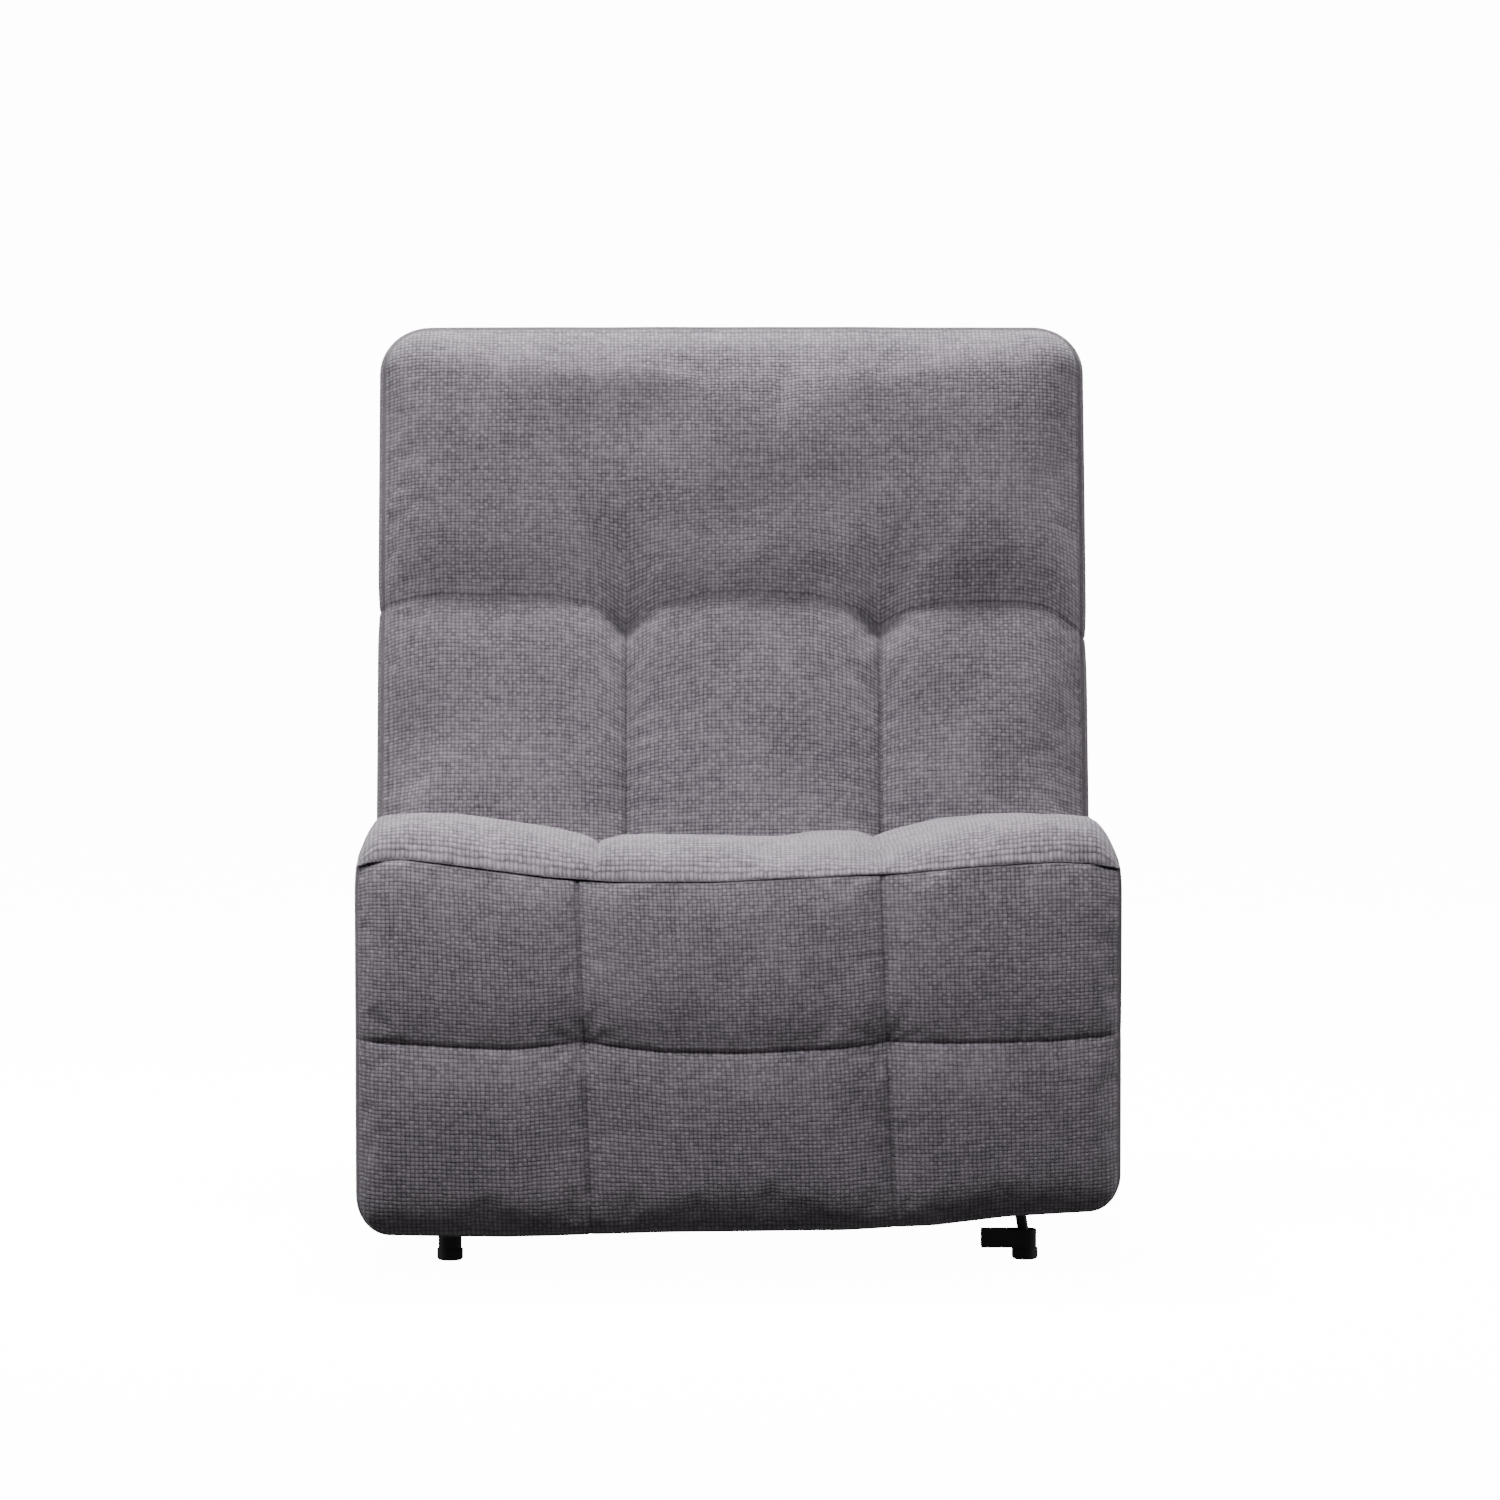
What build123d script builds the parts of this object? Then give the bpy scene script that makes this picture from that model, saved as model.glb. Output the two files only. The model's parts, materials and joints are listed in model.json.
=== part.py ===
from build123d import *
from math import cos, radians, sin
import os

os.makedirs("parts", exist_ok=True)

# Overall size
width = 800.0
half_width = width / 2
front_y = -480.0
skin = 6.0
gap = 0.3
pin_fit = 0.05

# Footrest panel at rest
panel_depth = 105.0
panel_low = 45.0
panel_high = 410.0
board_thick = 15.0
board_inset = 14.0
panel_back_y = front_y + panel_depth
board_back_y = panel_back_y + board_thick
front_column = 160.0
middle_row_z = 249.0

# Seat pad
seat_low = 329.3
lip_low = 415.5
seat_slab_high = 432.0
seat_crown = 470.0
seat_nose_y = -472.0
roll_back_y = -300.0
seat_column = 151.0

# Back, leaning about its pivot
lean = 16.0
pivot_y = 190.0
pivot_z = 290.0
back_side_inset = 5.0
back_half = half_width - back_side_inset
back_face = 138.0
back_slab_face = 112.0
back_slab_low = 58.3
back_rear = -112.0
back_top = 693.0
back_pad_low = 22.0
back_frame_low = -58.0
tuft_height = 347.0
arch_rise = 31.0
tuft_left = -121.0
tuft_right = 167.0

# Layers of flat steel across the width, measured from the middle
link_thick = 3.0
layer_gap = 2.0
side_plate_inset = 70.0
side_plate_x = half_width - side_plate_inset
plate_thick = 4.0
layer_step = link_thick + layer_gap
lower_link_x = side_plate_x - layer_step
lift_link_x = lower_link_x - layer_step
upper_link_x = lift_link_x - layer_step
rear_link_x = upper_link_x - layer_step
bracket_x = rear_link_x - layer_step
swing_x = side_plate_x + plate_thick + layer_gap
rail_x = swing_x + plate_thick + layer_gap

# Footrest linkage pivots at rest, forward distance turned into -Y
lift_pivot = (-315.0, 283.1)
rear_pivot = (-256.3, 292.0)
elbow_pivot = (-241.75, 100.87)
crook_pivot = (-197.16, 95.39)
panel_pivot = (-343.04, 245.53)
crook_hole = (-194.41, 95.72)
pivot_rise = 45.0
link_half = 9.5
pin_radius = 4.0
head_radius = 7.0
head_thick = 1.4
open_hole_radius = 7.3
head_gap = 0.2
tube_radius = 8.0

# Seat glide on swing links
swing_length = 115.0
swing_angle = 25.0
swing_foot_z = 80.0
front_swing_y = -200.0
rear_swing_y = 100.0
swing_half = 11.0

# Recline links: from the base rails up to an ear below the back's pivot
recline_foot = (141.2, 80.0)
recline_ear = (199.7, 259.1)
recline_link_x = rail_x + plate_thick + layer_gap
recline_hole_radius = 4.9
ear_radius = 12.0

# Base frame
rail_low = 32.0
rail_high = 94.0
rail_front_y = -345.0
rail_back_y = 330.0
rail_flange = 52.0
rail_step_y = -215.0
rail_step_low = 62.0
tube_side = 25.0
tube_wall = 2.0
foot_inset = 22.0
foot_x = side_plate_x - foot_inset
front_foot_y = -330.0
rear_foot_y = 300.0
foot_cap_radius = 14.0
foot_stem_radius = 12.5
foot_cap_high = 12.0

# Seat frame
flange_high = 304.0
plate_high = 300.0
bearer_inner = swing_x
side_clearance = 2.0
panel_thick = 16.0
bearer_outer = half_width - skin - panel_thick - side_clearance
bearer_high = 322.0
bearer_front_y = -345.0
bearer_back_y = 40.0
rail_deep = 30.0
side_panel_x = bearer_outer
side_high = 329.0
side_low = 78.0
side_front_y = -358.0
side_step_y = 54.0
side_step_z = 150.0
side_back_y = 305.0
spring_radius = 2.0

back_plane = Plane(
    origin=(0, pivot_y, pivot_z),
    x_dir=(1, 0, 0),
    z_dir=(0, -cos(radians(lean)), sin(radians(lean))),
)


def finish(builder, label):
    """Name a finished piece and write it out."""
    builder.part.label = label
    export_step(builder.part, f"parts/{label}.step")


def side_sketch_plane(start_x):
    """Plane across the width: its own axes are Y and Z of the chair."""
    return Plane.YZ.offset(start_x)


def link_plate(points, start_x, thick, half, holes):
    """Flat link on one side: a hull round its pivots, drilled at each."""
    with BuildSketch(side_sketch_plane(start_x)) as outline:
        with Locations(*points):
            Circle(half)
        make_hull()
        for point, radius in holes:
            with Locations(point):
                Circle(radius, mode=Mode.SUBTRACT)
    extrude(outline.sketch, amount=thick)


def disc(point, start_x, thick, radius):
    """Round disc or rod along X."""
    with BuildSketch(side_sketch_plane(start_x)) as outline:
        with Locations(point):
            Circle(radius)
    extrude(outline.sketch, amount=thick)


def pin(point, start_x, end_x, radius, head_at_start, head_at_end):
    """Round pin along X with flat heads."""
    disc(point, start_x, end_x - start_x, radius)
    if head_at_start:
        disc(point, start_x - head_thick, head_thick, head_radius)
    if head_at_end:
        disc(point, end_x, head_thick, head_radius)


def cell(plane, left, right, low, high, rise, inset, arch=0.0):
    """Pillow between seams: three outlines that draw in as they rise."""
    outlines = []
    for height_share, inset_share in ((0.0, 0.0), (0.62, 0.3), (1.0, 1.0)):
        draw = inset * inset_share
        x0 = left + draw
        x1 = right - draw
        y0 = low + draw
        y1 = high - draw
        middle = (x0 + x1) / 2
        with BuildSketch(plane.offset(rise * height_share)) as outline:
            with BuildLine():
                Line((x0, y0), (x1, y0))
                Line((x1, y0), (x1, y1))
                if arch > 0:
                    ThreePointArc((x1, y1), (middle, y1 + arch), (x0, y1))
                else:
                    Line((x1, y1), (x0, y1))
                Line((x0, y1), (x0, y0))
            make_face()
        outlines.append(outline.sketch.face())
    loft(outlines)


far_elbow = (elbow_pivot[0], elbow_pivot[1] + pivot_rise)
far_panel = (panel_pivot[0], panel_pivot[1] + pivot_rise)
swing_reach = swing_length * sin(radians(swing_angle))
swing_top_z = swing_foot_z + swing_length * cos(radians(swing_angle))
front_swing_foot = (front_swing_y, swing_foot_z)
rear_swing_foot = (rear_swing_y, swing_foot_z)
front_swing_head = (front_swing_y + swing_reach, swing_top_z)
rear_swing_head = (rear_swing_y + swing_reach, swing_top_z)
back_pivot = (pivot_y, pivot_z)
tight = pin_radius + pin_fit

# ---------------------------------------------------------------- base frame
for side, name in ((-1, "left"), (1, "right")):
    with BuildPart() as base_rail:
        inner = rail_x + plate_thick - rail_flange
        for low, start_y, end_y in (
            (rail_step_low, rail_front_y, rail_step_y),
            (rail_low, rail_step_y, rail_back_y),
        ):
            with BuildSketch(Plane.XZ.offset(-start_y)):
                with BuildLine():
                    Polyline(
                        (side * inner, low),
                        (side * (rail_x + plate_thick), low),
                        (side * (rail_x + plate_thick), rail_high),
                        (side * rail_x, rail_high),
                        (side * rail_x, low + plate_thick),
                        (side * inner, low + plate_thick),
                        close=True,
                    )
                make_face()
            extrude(amount=start_y - end_y)
        with BuildSketch(Plane.XZ.offset(-rail_step_y)):
            with Locations((side * (inner + rail_flange / 2), (rail_low + rail_step_low + plate_thick) / 2)):
                Rectangle(rail_flange, rail_step_low + plate_thick - rail_low)
        extrude(amount=-plate_thick)
        start = side * (rail_x + plate_thick / 2) - plate_thick
        with BuildSketch(side_sketch_plane(start)):
            with Locations(front_swing_foot, rear_swing_foot, recline_foot):
                Circle(tight)
        extrude(amount=2 * plate_thick, mode=Mode.SUBTRACT)
    finish(base_rail, f"{name}_base_rail")

tube_centre_z = rail_low + plate_thick + tube_side / 2
rear_tube_y = 240.0
front_tube_y = rail_step_y + plate_thick + tube_side / 2
for name, tube_y in (("front", front_tube_y), ("rear", rear_tube_y)):
    with BuildPart() as cross_tube:
        with BuildSketch(side_sketch_plane(-rail_x)):
            with Locations((tube_y, tube_centre_z)):
                Rectangle(tube_side, tube_side)
                Rectangle(tube_side - 2 * tube_wall, tube_side - 2 * tube_wall, mode=Mode.SUBTRACT)
        extrude(amount=2 * rail_x)
    finish(cross_tube, f"{name}_cross_tube")

foot_spots = [(sx * foot_x, y) for sx in (-1, 1) for y in (front_foot_y, rear_foot_y)]
with BuildPart() as foot_stems:
    with BuildSketch(Plane.XY.offset(foot_cap_high)):
        with Locations(*foot_spots):
            Circle(foot_stem_radius)
    extrude(amount=rail_low - foot_cap_high)
finish(foot_stems, "foot_stems")

with BuildPart() as foot_caps:
    with BuildSketch(Plane.XY):
        with Locations(*foot_spots):
            Circle(foot_cap_radius)
    extrude(amount=foot_cap_high)
    chamfer(foot_caps.edges().group_by(Axis.Z)[0], length=2.0)
finish(foot_caps, "foot_caps")

bar_reach = 47.0
bar_deep = 22.0
with BuildPart() as foot_bar:
    with BuildSketch(Plane.XY.offset(foot_cap_high + 1)):
        with Locations((foot_x - bar_reach / 2, front_foot_y)):
            Rectangle(bar_reach, bar_deep)
        with Locations((foot_x, front_foot_y)):
            Circle(foot_stem_radius, mode=Mode.SUBTRACT)
    extrude(amount=rail_low - foot_cap_high - 1)
finish(foot_bar, "right_foot_bar")

rod_radius = 6.0
rod_lean = 5.0
with BuildPart() as leg_rods:
    for side in (-1, 1):
        rod_foot = Vector(side * (foot_x - 2), front_foot_y, rail_low)
        rod_head = Vector(side * (foot_x - 2 - rod_lean), front_foot_y, rail_step_low)
        with BuildSketch(Plane(origin=rod_foot - (rod_head - rod_foot) * 0.1, z_dir=rod_head - rod_foot)):
            Circle(rod_radius)
        extrude(amount=(rod_head - rod_foot).length * 1.2)
    with BuildSketch(Plane.XY.offset(rail_low)):
        Rectangle(width, 2 * (rod_radius - front_foot_y))
    extrude(amount=rail_step_low - rail_low, mode=Mode.INTERSECT)
finish(leg_rods, "leg_rods")

bolt_radius = 4.0
bolt_head = 4.0
with BuildPart() as foot_bolts:
    with BuildSketch(Plane.XY.offset(rail_low + plate_thick)):
        with Locations(*[(sx * foot_x, rear_foot_y) for sx in (-1, 1)]):
            RegularPolygon(2 * bolt_radius, 6)
    extrude(amount=bolt_head)
finish(foot_bolts, "foot_bolts")

inlet_x = 180.0
inlet_wide = 46.0
inlet_deep = 28.0
socket_wide = 24.0
socket_tall = 14.0
socket_deep = 10.0
inlet_front = rear_tube_y + tube_side / 2
with BuildPart() as inlet:
    with BuildSketch(side_sketch_plane(inlet_x)):
        with Locations((inlet_front + inlet_deep / 2, tube_centre_z)):
            Rectangle(inlet_deep, tube_side)
    extrude(amount=inlet_wide)
    with BuildSketch(Plane.XZ.offset(-(inlet_front + inlet_deep))):
        with Locations((inlet_x + inlet_wide / 2, tube_centre_z)):
            Rectangle(socket_wide, socket_tall)
    extrude(amount=socket_deep, mode=Mode.SUBTRACT)
finish(inlet, "power_inlet")

# --------------------------------------------------------------- swing links
for name, foot, head in (
    ("front_swing_links", front_swing_foot, front_swing_head),
    ("rear_swing_links", rear_swing_foot, rear_swing_head),
):
    with BuildPart() as swing_links:
        link_plate((foot, head), swing_x, plate_thick, swing_half, ((head, tight),))
        pin(foot, swing_x, rail_x + plate_thick + 1, pin_radius, False, True)
        mirror(about=Plane.YZ)
    finish(swing_links, name)

with BuildPart() as recline_links:
    link_plate(
        (recline_foot, recline_ear),
        recline_link_x,
        plate_thick,
        link_half,
        ((recline_ear, recline_hole_radius),),
    )
    pin(recline_foot, rail_x - head_gap, recline_link_x, pin_radius, True, False)
    mirror(about=Plane.YZ)
finish(recline_links, "recline_links")

# ---------------------------------------------------------------- side plates
plate_low = 240.0
plate_front_y = -335.0
plate_notch = 25.0
lobe_half = 14.0
lobe_flare = 45.0
plate_rear_y = pivot_y + 18.0
plate_rear_low = plate_low + 10.0
plate_rear_high = pivot_z + 12.0
plate_brow_y = pivot_y - 12.0
plate_brow_high = pivot_z + 16.0
for side, name in ((-1, "left"), (1, "right")):
    with BuildPart() as side_plate:
        start = side_plate_x if side > 0 else -side_plate_x - plate_thick
        with BuildSketch(side_sketch_plane(start)):
            with BuildLine():
                Polyline(
                    (plate_front_y, plate_high),
                    (plate_front_y, plate_low + plate_notch),
                    (plate_front_y + plate_notch, plate_low),
                    (front_swing_head[0] - lobe_flare, plate_low),
                    (front_swing_head[0] - lobe_half, swing_top_z - lobe_half),
                    (front_swing_head[0] + lobe_half, swing_top_z - lobe_half),
                    (front_swing_head[0] + lobe_flare, plate_low),
                    (rear_swing_head[0] - lobe_flare, plate_low),
                    (rear_swing_head[0] - lobe_half, swing_top_z - lobe_half),
                    (rear_swing_head[0] + lobe_half, swing_top_z - lobe_half),
                    (plate_rear_y, plate_rear_low),
                    (plate_rear_y, plate_rear_high),
                    (plate_brow_y, plate_brow_high),
                    (bearer_back_y, plate_high),
                    close=True,
                )
            make_face()
            with Locations(lift_pivot):
                Circle(tube_radius + pin_fit, mode=Mode.SUBTRACT)
            with Locations(back_pivot):
                Circle(tight, mode=Mode.SUBTRACT)
        extrude(amount=plate_thick)
        flange_start = side_plate_x if side > 0 else -bearer_outer
        flange_wide = bearer_outer - side_plate_x
        with BuildSketch(Plane.XY.offset(plate_high)):
            with Locations((flange_start + flange_wide / 2, (bearer_front_y + bearer_back_y) / 2)):
                Rectangle(flange_wide, bearer_back_y - bearer_front_y)
        extrude(amount=flange_high - plate_high)
    finish(side_plate, f"{name}_side_plate")

with BuildPart() as seat_pins:
    pin(rear_pivot, rear_link_x - head_gap, side_plate_x, pin_radius, True, False)
    for head in (front_swing_head, rear_swing_head):
        pin(head, side_plate_x + plate_thick, swing_x + plate_thick + 0.3, pin_radius, False, True)
    mirror(about=Plane.YZ)
finish(seat_pins, "seat_pivot_pins")

# ------------------------------------------------------------ footrest linkage
with BuildPart() as lift_links:
    link_plate(
        (lift_pivot, elbow_pivot, far_elbow),
        lift_link_x,
        link_thick,
        link_half + 2,
        ((elbow_pivot, tight), (far_elbow, tight), (lift_pivot, tube_radius)),
    )
    mirror(about=Plane.YZ)
finish(lift_links, "lift_links")

with BuildPart() as torque_tube:
    tube_end = side_plate_x + plate_thick + 1.5
    with BuildSketch(side_sketch_plane(-tube_end)):
        with Locations(lift_pivot):
            Circle(tube_radius)
            Circle(tube_radius - tube_wall, mode=Mode.SUBTRACT)
    extrude(amount=2 * tube_end)
finish(torque_tube, "torque_tube")

with BuildPart() as rear_links:
    link_plate(
        (rear_pivot, crook_hole),
        rear_link_x,
        link_thick,
        link_half + 1,
        ((rear_pivot, tight), (crook_hole, open_hole_radius)),
    )
    mirror(about=Plane.YZ)
finish(rear_links, "rear_links")

with BuildPart() as upper_links:
    link_plate((elbow_pivot, panel_pivot), upper_link_x, link_thick, link_half, ())
    link_plate((crook_pivot, elbow_pivot), upper_link_x, link_thick, link_half, ())
    mirror(about=Plane.YZ)
finish(upper_links, "upper_links")

with BuildPart() as upper_pins:
    pin(elbow_pivot, upper_link_x + link_thick, lift_link_x + link_thick + head_gap, pin_radius, False, True)
    pin(panel_pivot, bracket_x - head_gap, upper_link_x, pin_radius, True, False)
    pin(crook_pivot, rear_link_x - head_gap, upper_link_x, pin_radius, False, False)
    mirror(about=Plane.YZ)
finish(upper_pins, "upper_link_pins")

with BuildPart() as lower_links:
    link_plate((far_elbow, far_panel), lower_link_x, link_thick, link_half, ())
    mirror(about=Plane.YZ)
finish(lower_links, "lower_links")

with BuildPart() as lower_pins:
    pin(far_elbow, lift_link_x - head_gap, lower_link_x, pin_radius, True, False)
    pin(far_panel, bracket_x - head_gap, lower_link_x, pin_radius, True, False)
    mirror(about=Plane.YZ)
finish(lower_pins, "lower_link_pins")

# -------------------------------------------------------------------- footrest
bracket_below = 22.0
bracket_toe = 16.0
bracket_deep = 29.0
bracket_waist = 6.0
bracket_foot = 28.0
for side, name in ((-1, "left"), (1, "right")):
    with BuildPart() as bracket:
        bracket_low = panel_pivot[1] - bracket_below
        bracket_high = far_panel[1] + link_half
        start = bracket_x if side > 0 else -bracket_x - link_thick
        with BuildSketch(side_sketch_plane(start)):
            with BuildLine():
                Polyline(
                    (board_back_y, bracket_low),
                    (board_back_y + bracket_toe, bracket_low),
                    (board_back_y + bracket_deep, panel_pivot[1] - bracket_waist),
                    (board_back_y + bracket_deep, bracket_high),
                    (board_back_y, bracket_high),
                    close=True,
                )
            make_face()
            with Locations(panel_pivot, far_panel):
                Circle(tight, mode=Mode.SUBTRACT)
        extrude(amount=link_thick)
        with BuildSketch(Plane.XZ.offset(-board_back_y)):
            foot_middle = bracket_x + link_thick - bracket_foot / 2
            with Locations((side * foot_middle, (bracket_low + bracket_high) / 2)):
                Rectangle(bracket_foot, bracket_high - bracket_low)
        extrude(amount=-link_thick)
    finish(bracket, f"{name}_footrest_bracket")

board_corner = 20.0
with BuildPart() as footrest_board:
    with BuildSketch(Plane.XZ.offset(-board_back_y)):
        with Locations((0, (panel_low + panel_high) / 2)):
            board_wide = width - 2 * board_inset
            board_tall = panel_high - panel_low - 2 * board_inset
            RectangleRounded(board_wide, board_tall, board_corner)
    extrude(amount=board_thick)
finish(footrest_board, "footrest_board")

screw_x = bracket_x + link_thick - bracket_foot + 11
screw_inset = 12.0
screw_radius = 4.5
screw_thick = 2.0
with BuildPart() as footrest_screws:
    with BuildSketch(Plane.XZ.offset(-board_back_y - link_thick)):
        for side in (-1, 1):
            low_screw = (side * screw_x, bracket_low + screw_inset)
            high_screw = (side * screw_x, bracket_high - screw_inset)
            with Locations(low_screw, high_screw):
                Circle(screw_radius)
    extrude(amount=-screw_thick)
finish(footrest_screws, "footrest_screws")

footrest_crown = 30.0
footrest_corner = 14.0
footrest_slab_y = front_y + footrest_crown
footrest_plane = Plane.XZ.offset(-footrest_slab_y)
with BuildPart() as footrest_pad:
    with BuildSketch(Plane.XZ.offset(-panel_back_y + gap)):
        with Locations((0, (panel_low + panel_high) / 2)):
            Rectangle(width - 2, panel_high - panel_low)
    extrude(amount=panel_back_y - gap - footrest_slab_y)
    fillet(footrest_pad.edges().filter_by(Axis.Y), radius=footrest_corner)
    columns = ((-half_width + 4, -front_column), (-front_column, front_column), (front_column, half_width - 4))
    for left, right in columns:
        for low, high in ((panel_low + 3, middle_row_z), (middle_row_z, panel_high - 1)):
            cell(footrest_plane, left + 1, right - 1, low + 1, high - 1, footrest_crown, 30.0)
finish(footrest_pad, "footrest_pad")

# ----------------------------------------------------------------- seat frame
for side, name in ((-1, "left"), (1, "right")):
    with BuildPart() as bearer:
        with BuildSketch(Plane.XY.offset(flange_high)):
            bearer_wide = bearer_outer - bearer_inner
            with Locations((side * (bearer_inner + bearer_wide / 2), (bearer_front_y + bearer_back_y) / 2)):
                Rectangle(bearer_wide, bearer_back_y - bearer_front_y)
        extrude(amount=bearer_high - flange_high)
    finish(bearer, f"{name}_seat_bearer")

for name, rail_y in (("front", bearer_front_y + rail_deep / 2), ("rear", bearer_back_y - rail_deep / 2)):
    with BuildPart() as seat_rail:
        with BuildSketch(Plane.XY.offset(flange_high)):
            with Locations((0, rail_y)):
                Rectangle(2 * bearer_inner, rail_deep)
        extrude(amount=bearer_high - flange_high)
    finish(seat_rail, f"seat_{name}_rail")

block_side = 45.0
with BuildPart() as corner_blocks:
    for side in (-1, 1):
        for corner_y, inward in ((bearer_front_y + rail_deep, 1), (bearer_back_y - rail_deep, -1)):
            with BuildSketch(Plane.XY.offset(flange_high)):
                with BuildLine():
                    Polyline(
                        (side * bearer_inner, corner_y),
                        (side * (bearer_inner - block_side), corner_y),
                        (side * bearer_inner, corner_y + inward * block_side),
                        close=True,
                    )
                make_face()
            extrude(amount=bearer_high - flange_high)
finish(corner_blocks, "corner_blocks")

spring_half = 22.0
spring_spacing = 120.0
spring_steps = 14

with BuildPart() as seat_springs:
    spring_z = bearer_high + spring_radius
    spring_front = bearer_front_y + 12.0
    spring_back = bearer_back_y - 12.0
    pitch = (spring_back - spring_front - 20.0) / spring_steps
    for centre in [row * spring_spacing for row in range(-2, 3)]:
        points = [(centre - spring_half, spring_front)]
        for step in range(spring_steps):
            side = -1 if step % 2 == 0 else 1
            along = spring_front + 10.0 + step * pitch
            points.append((centre + side * spring_half, along + pitch * 0.25))
            points.append((centre - side * spring_half, along + pitch * 0.75))
        points.append((points[-1][0], spring_back))
        with BuildLine(Plane.XY.offset(spring_z)) as path:
            FilletPolyline(*points, radius=3.5)
        with BuildSketch(Plane(origin=path.wire() @ 0, z_dir=path.wire() % 0)):
            Circle(spring_radius)
        sweep(path=path.wire())
finish(seat_springs, "seat_springs")

deck_thick = 3.0
deck_low = bearer_high + 2 * spring_radius
with BuildPart() as seat_deck:
    with BuildSketch(Plane.XY.offset(deck_low)):
        with Locations((0, (bearer_front_y + bearer_back_y) / 2)):
            Rectangle(2 * (bearer_outer - 6), bearer_back_y - bearer_front_y - 4)
    extrude(amount=deck_thick)
finish(seat_deck, "seat_deck")

seat_rear_low = 55.0
seat_rear_high = seat_rear_low + (seat_slab_high - seat_low) * sin(radians(lean)) / cos(radians(lean))
lip_back_y = board_back_y + 1.5
seat_draw = 34.0
with BuildPart() as seat_pad:
    with BuildSketch(side_sketch_plane(-half_width + 1)):
        with BuildLine():
            Polyline(
                (lip_back_y, seat_low),
                (seat_rear_low, seat_low),
                (seat_rear_high, seat_slab_high),
                (seat_nose_y, seat_slab_high),
                (seat_nose_y, lip_low),
                (lip_back_y, lip_low),
                close=True,
            )
        make_face()
    extrude(amount=width - 2)
    seat_columns = ((-half_width + 3, -seat_column), (-seat_column, seat_column), (seat_column, half_width - 3))
    crowns = (seat_crown + 4, seat_crown - 8, seat_crown + 4)
    for (left, right), crown in zip(seat_columns, crowns):
        top_plane = Plane.XY.offset(seat_slab_high)
        rise = crown - seat_slab_high
        cell(top_plane, left + 1, right - 1, seat_nose_y + 1, roll_back_y, rise, seat_draw)
        cell(top_plane, left + 1, right - 1, roll_back_y + 1, seat_rear_high - 12, rise - 6, seat_draw)
finish(seat_pad, "seat_pad")

for side, name in ((-1, "left"), (1, "right")):
    for label, start, thick, trim in (
        ("side_panel", side_panel_x, panel_thick, 0.0),
        ("side_cover", side_panel_x + panel_thick, skin, 1.5),
    ):
        with BuildPart() as side_piece:
            first = start if side > 0 else -start - thick
            with BuildSketch(side_sketch_plane(first)):
                with BuildLine():
                    Polyline(
                        (side_front_y - trim, side_low - trim),
                        (side_back_y, side_low - trim),
                        (side_back_y, side_step_z),
                        (side_step_y, side_step_z),
                        (side_step_y, side_high),
                        (side_front_y - trim, side_high),
                        close=True,
                    )
                make_face()
            extrude(amount=thick)
        finish(side_piece, f"{name}_{label}")

# ------------------------------------------------------------ gearmotor, switch
motor_half = 45.0
motor_back_y = -255.0
motor_front_y = -338.0
motor_low = 258.0
can_radius = 21.0
can_long = 95.0
can_inset = 24.0
motor_ear = 5.0
with BuildPart() as gearmotor:
    with BuildSketch(side_sketch_plane(-motor_half)):
        with Locations(((motor_front_y + motor_back_y) / 2, (motor_low + flange_high) / 2)):
            Rectangle(motor_back_y - motor_front_y, flange_high - motor_low)
    extrude(amount=2 * motor_half)
    fillet(gearmotor.edges().filter_by(Axis.X), radius=6)
    with BuildSketch(side_sketch_plane(motor_half)):
        with Locations((motor_back_y - can_inset, (motor_low + flange_high) / 2)):
            Circle(can_radius)
    extrude(amount=can_long)
    with BuildSketch(side_sketch_plane(-motor_half - motor_ear)):
        with Locations(lift_pivot):
            Circle(tube_radius + pin_fit)
    extrude(amount=2 * (motor_half + motor_ear), mode=Mode.SUBTRACT)
finish(gearmotor, "gearmotor")

switch_x = -(side_panel_x + panel_thick + skin)
switch_centre = (-60.0, 262.0)
switch_long = 74.0
switch_tall = 38.0
switch_corner = 6.0
switch_thick = 2.0
button_gap = 0.3
button_side = 20.0
button_apart = 15.0
button_spots = [(switch_centre[0] + way * button_apart, switch_centre[1]) for way in (-1, 1)]
button_travel = 1.5
button_rest = 0.4
with BuildPart() as switch_plate:
    with BuildSketch(side_sketch_plane(switch_x - switch_thick)):
        with Locations(switch_centre):
            RectangleRounded(switch_long, switch_tall, switch_corner)
        with Locations(*button_spots):
            Rectangle(button_side + 2 * button_gap, button_side + 2 * button_gap, mode=Mode.SUBTRACT)
    extrude(amount=switch_thick)
finish(switch_plate, "switch_plate")

for name, spot in (("extend", button_spots[0]), ("return", button_spots[1])):
    with BuildPart() as button:
        with BuildSketch(side_sketch_plane(switch_x - switch_thick - button_travel)):
            with Locations(spot):
                Rectangle(button_side, button_side)
        extrude(amount=button_travel + button_rest)
    finish(button, f"{name}_button")

# ------------------------------------------------------------------ back frame
back_panel_thick = 22.0
back_side_x = back_half - skin - back_panel_thick
stile_x = swing_x + plate_thick + gap
top_roll = 30.0
stile_high = back_top - top_roll
with BuildPart() as back_pins:
    pin(back_pivot, side_plate_x - head_gap, swing_x, pin_radius, True, False)
    pin(recline_ear, swing_x + plate_thick, recline_link_x + plate_thick + head_gap, pin_radius, False, True)
    mirror(about=Plane.YZ)
finish(back_pins, "recline_pins")

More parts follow.
